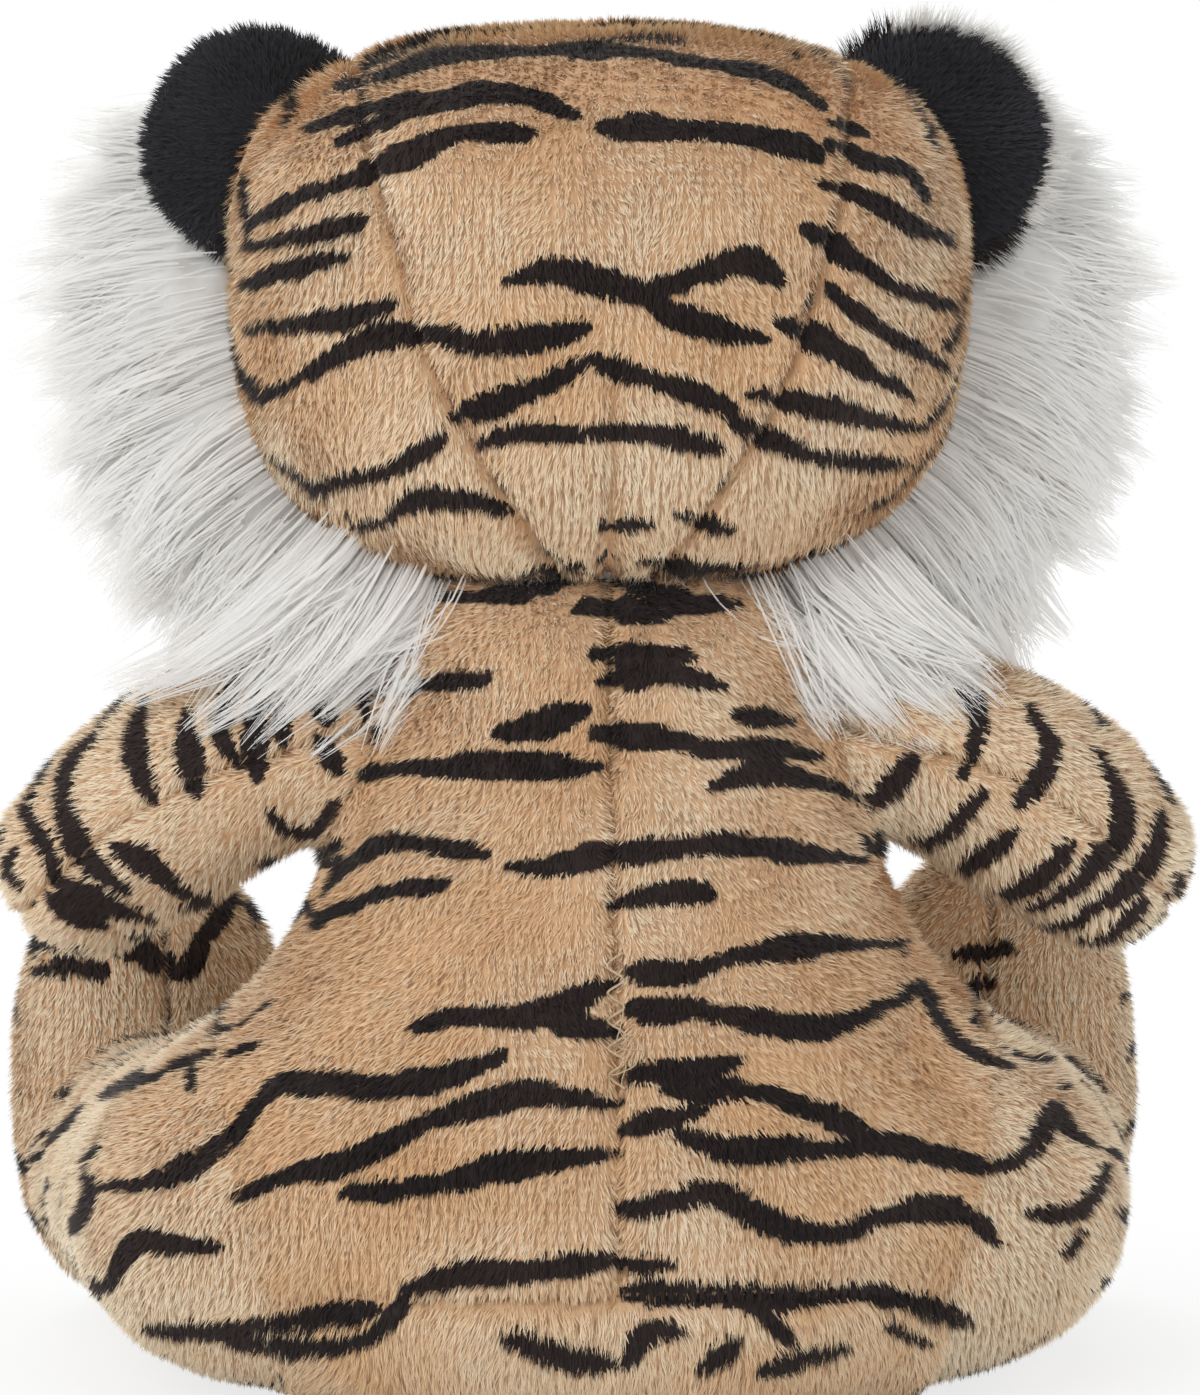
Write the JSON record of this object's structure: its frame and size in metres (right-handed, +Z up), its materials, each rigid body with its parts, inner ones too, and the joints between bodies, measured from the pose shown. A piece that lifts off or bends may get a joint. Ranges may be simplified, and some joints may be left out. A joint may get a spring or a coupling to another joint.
{
  "type": "plush tiger toy",
  "caption": "Seated stuffed tiger with striped short-pile body, round black ears, long white cheek ruffs and legs held forward.",
  "frame": {"origin": "centre of the flat underside of the seat", "axes": "+Z up through the head, +X to the toy's own left, so that the toy faces -Y"},
  "size_m": [0.2192, 0.1605, 0.247],
  "materials": {
    "striped_plush": "short napped pile, tan with dark brown stripes",
    "cream_plush": "short napped pile",
    "white_long_pile": "long brushed pile",
    "black_plush": "short napped pile",
    "fibre_filling": "loose white polyester fibre",
    "pellet_bag_cloth": "plain woven cloth",
    "light_thread": "matte sewing thread",
    "dark_thread": "matte embroidery thread",
    "nose_fabric": "short velour",
    "eye_plastic": "polished",
    "washer_plastic": "plain moulded"
  },
  "bodies": {
    "torso": {"base_panel": "striped_plush", "belly_panel": "cream_plush", "torso_back_left": "striped_plush", "torso_back_right": "striped_plush", "torso_filling": "fibre_filling", "pellet_bag": "pellet_bag_cloth", "closing_thread": "light_thread"},
    "neck": {"neck_filling": "fibre_filling"},
    "head": {"face_panel": "striped_plush", "head_gusset": "striped_plush", "head_side_left": "striped_plush", "head_side_right": "striped_plush", "head_filling": "fibre_filling", "eye_left": "eye_plastic", "eye_right": "eye_plastic", "eye_washer_left": "washer_plastic", "eye_washer_right": "washer_plastic", "muzzle": "white_long_pile", "nose": "nose_fabric", "mouth_thread": "dark_thread", "ruff_left": "white_long_pile", "ruff_right": "white_long_pile"},
    "ear_left": {"ear_left_back": "black_plush", "ear_left_front": "white_long_pile"},
    "arm_left": {"arm_left_upper": "striped_plush", "arm_left_lower": "striped_plush", "arm_left_filling": "fibre_filling"},
    "leg_left": {"leg_left_cover": "striped_plush", "leg_left_filling": "fibre_filling", "foot_left_outer": "striped_plush", "foot_left_inner": "striped_plush", "foot_left_sole": "cream_plush", "foot_left_filling": "fibre_filling"},
    "ear_right": {"ear_right_back": "black_plush", "ear_right_front": "white_long_pile"},
    "arm_right": {"arm_right_upper": "striped_plush", "arm_right_lower": "striped_plush", "arm_right_filling": "fibre_filling"},
    "leg_right": {"leg_right_cover": "striped_plush", "leg_right_filling": "fibre_filling", "foot_right_outer": "striped_plush", "foot_right_inner": "striped_plush", "foot_right_sole": "cream_plush", "foot_right_filling": "fibre_filling"}
  },
  "joints": [
    {"name": "head_turn", "type": "hinge", "parent": "torso", "child": "neck", "pos_m": [0, 0, 0.144], "axis": [0, 0, 1], "range_deg": [-40, 40], "stiffness_Nm_per_rad": 0.3, "deforming": ["ruff_left", "ruff_right"]},
    {"name": "head_nod", "type": "hinge", "parent": "neck", "child": "head", "pos_m": [0, 0, 0.144], "axis": [1, 0, 0], "range_deg": [-8, 12], "stiffness_Nm_per_rad": 0.5, "deforming": ["ruff_left", "ruff_right"]},
    {"name": "ear_left_fold", "type": "hinge", "parent": "head", "child": "ear_left", "pos_m": [0.05888, -0.01, 0.22343], "axis": [0.515, 0, -0.8572], "range_deg": [-25, 25], "stiffness_Nm_per_rad": 0.01, "deforming": ["ruff_left"]},
    {"name": "arm_left_raise", "type": "hinge", "parent": "torso", "child": "arm_left", "pos_m": [0.05176, 0, 0.118], "axis": [-0.2419, -0.9703, 0], "range_deg": [0, 45], "stiffness_Nm_per_rad": 0.05, "deforming": ["ruff_left"]},
    {"name": "leg_left_swing", "type": "hinge", "parent": "torso", "child": "leg_left", "pos_m": [0.065, 0.005, 0.034], "axis": [0, 0, 1], "range_deg": [-6, 14], "stiffness_Nm_per_rad": 0.05},
    {"name": "ear_right_fold", "type": "hinge", "parent": "head", "child": "ear_right", "pos_m": [-0.05888, -0.01, 0.22343], "axis": [0.515, 0, 0.8572], "range_deg": [-25, 25], "stiffness_Nm_per_rad": 0.01, "deforming": ["ruff_right"]},
    {"name": "arm_right_raise", "type": "hinge", "parent": "torso", "child": "arm_right", "pos_m": [-0.05176, 0, 0.118], "axis": [-0.2419, 0.9703, 0], "range_deg": [0, 45], "stiffness_Nm_per_rad": 0.05, "deforming": ["ruff_right"]},
    {"name": "leg_right_swing", "type": "hinge", "parent": "torso", "child": "leg_right", "pos_m": [-0.065, 0.005, 0.034], "axis": [0, 0, -1], "range_deg": [-5, 15], "stiffness_Nm_per_rad": 0.05}
  ]
}
